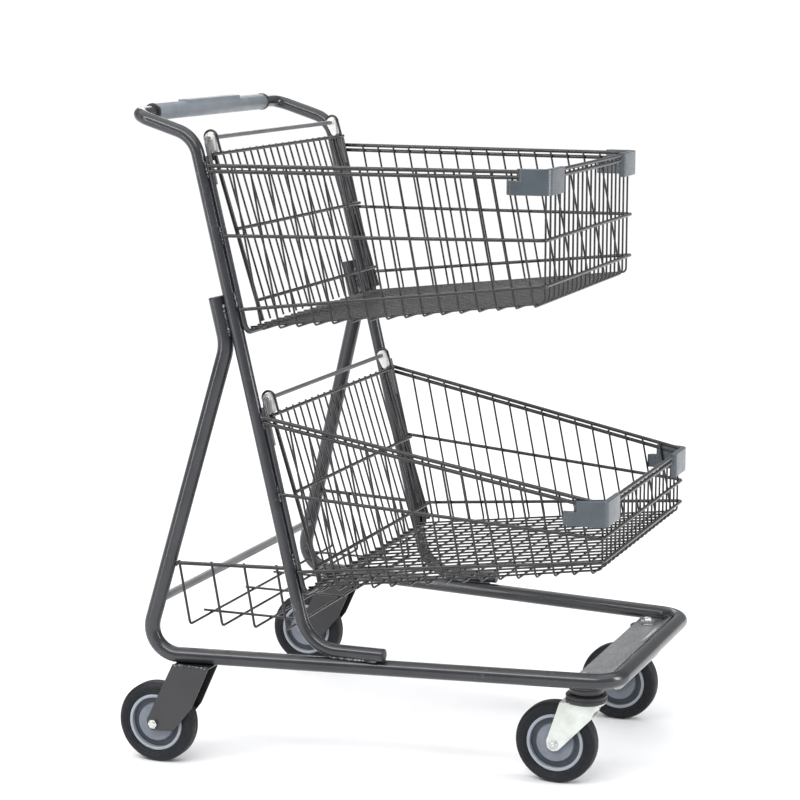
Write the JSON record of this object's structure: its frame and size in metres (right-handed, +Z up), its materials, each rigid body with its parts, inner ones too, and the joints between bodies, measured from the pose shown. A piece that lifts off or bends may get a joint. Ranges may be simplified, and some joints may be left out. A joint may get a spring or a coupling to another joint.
{
  "type": "shopping cart",
  "caption": "Two-tier wire basket shopping cart with a tube frame, padded handle, inward-swinging rear gates, low tray, swivel front casters and fixed rear wheels.",
  "frame": {"origin": "on the floor, under the middle of the cart", "axes": "+X forward, towards the front of the baskets; +Y to the cart's left; +Z up"},
  "size_m": [0.7745, 0.6348, 1.002],
  "materials": {
    "charcoal_tube": "semi-gloss charcoal powder coat on steel tube",
    "charcoal_wire": "semi-gloss charcoal powder coat on steel wire",
    "black_plastic": "matte black moulded plastic",
    "slate_plastic": "satin slate blue moulded plastic",
    "zinc_steel": "zinc plated steel",
    "black_rubber": "black rubber",
    "grey_plastic": "grey moulded plastic"
  },
  "bodies": {
    "frame": {"base_tube": "charcoal_tube", "handle_tube": "charcoal_tube", "tube_caps": "black_plastic", "rear_cross_tube": "charcoal_tube", "grip_sleeve": "slate_plastic", "grip_rings": "black_plastic", "tray_rails": "charcoal_wire", "tray_cross_wires": "charcoal_wire", "tray_long_wires": "charcoal_wire", "caster_plate": "zinc_steel", "upper_basket_rails": "charcoal_wire", "upper_basket_cross_wires": "charcoal_wire", "upper_basket_long_wires": "charcoal_wire", "upper_basket_rear_hoop": "charcoal_tube", "upper_hinge_rod": "charcoal_wire", "upper_right_bumper": "slate_plastic", "upper_left_bumper": "slate_plastic", "lower_basket_rails": "charcoal_wire", "lower_basket_cross_wires": "charcoal_wire", "lower_basket_long_wires": "charcoal_wire", "lower_basket_rear_hoop": "charcoal_tube", "lower_hinge_rod": "charcoal_wire", "lower_right_bumper": "slate_plastic", "lower_left_bumper": "slate_plastic", "rear_right_fork": "charcoal_tube", "rear_right_axle": "zinc_steel", "rear_left_fork": "charcoal_tube", "rear_left_axle": "zinc_steel", "front_right_swivel_race": "black_plastic", "front_right_kingpin": "zinc_steel", "front_left_swivel_race": "black_plastic", "front_left_kingpin": "zinc_steel"},
    "upper_gate": {"upper_gate_rails": "charcoal_wire", "upper_gate_wires": "charcoal_wire", "upper_gate_side_rods": "charcoal_wire", "upper_gate_loops": "charcoal_wire", "upper_hinge_clips": "zinc_steel"},
    "lower_gate": {"lower_gate_rails": "charcoal_wire", "lower_gate_wires": "charcoal_wire", "lower_gate_side_rods": "charcoal_wire", "lower_gate_loops": "charcoal_wire", "lower_hinge_clips": "zinc_steel"},
    "front_right_caster": {"front_right_fork": "zinc_steel", "front_right_axle": "zinc_steel"},
    "front_left_caster": {"front_left_fork": "zinc_steel", "front_left_axle": "zinc_steel"},
    "front_right_wheel": {"front_right_tyre": "black_rubber", "front_right_hub": "grey_plastic", "front_right_bearings": "zinc_steel"},
    "front_left_wheel": {"front_left_tyre": "black_rubber", "front_left_hub": "grey_plastic", "front_left_bearings": "zinc_steel"},
    "rear_right_wheel": {"rear_right_tyre": "black_rubber", "rear_right_hub": "grey_plastic", "rear_right_bearings": "zinc_steel"},
    "rear_left_wheel": {"rear_left_tyre": "black_rubber", "rear_left_hub": "grey_plastic", "rear_left_bearings": "zinc_steel"}
  },
  "joints": [
    {"name": "upper_gate_hinge", "type": "hinge", "parent": "frame", "child": "upper_gate", "pos_m": [-0.25002, 0, 0.9525], "axis": [0, -1, 0], "range_deg": [0, 80]},
    {"name": "lower_gate_hinge", "type": "hinge", "parent": "frame", "child": "lower_gate", "pos_m": [-0.15985, 0, 0.565], "axis": [0, -1, 0], "range_deg": [0, 80]},
    {"name": "front_right_swivel", "type": "hinge", "parent": "frame", "child": "front_right_caster", "pos_m": [0.3233, -0.1717, 0.145], "axis": [0, 0, 1], "continuous": true},
    {"name": "front_right_wheel_spin", "type": "hinge", "parent": "front_right_caster", "child": "front_right_wheel", "pos_m": [0.2783, -0.1717, 0.0625], "axis": [0, 1, 0], "continuous": true},
    {"name": "front_left_swivel", "type": "hinge", "parent": "frame", "child": "front_left_caster", "pos_m": [0.3233, 0.1717, 0.145], "axis": [0, 0, 1], "continuous": true},
    {"name": "front_left_wheel_spin", "type": "hinge", "parent": "front_left_caster", "child": "front_left_wheel", "pos_m": [0.2783, 0.1717, 0.0625], "axis": [0, 1, 0], "continuous": true},
    {"name": "rear_right_wheel_spin", "type": "hinge", "parent": "frame", "child": "rear_right_wheel", "pos_m": [-0.3235, -0.2925, 0.0625], "axis": [0, 1, 0], "continuous": true},
    {"name": "rear_left_wheel_spin", "type": "hinge", "parent": "frame", "child": "rear_left_wheel", "pos_m": [-0.3235, 0.2925, 0.0625], "axis": [0, 1, 0], "continuous": true}
  ]
}
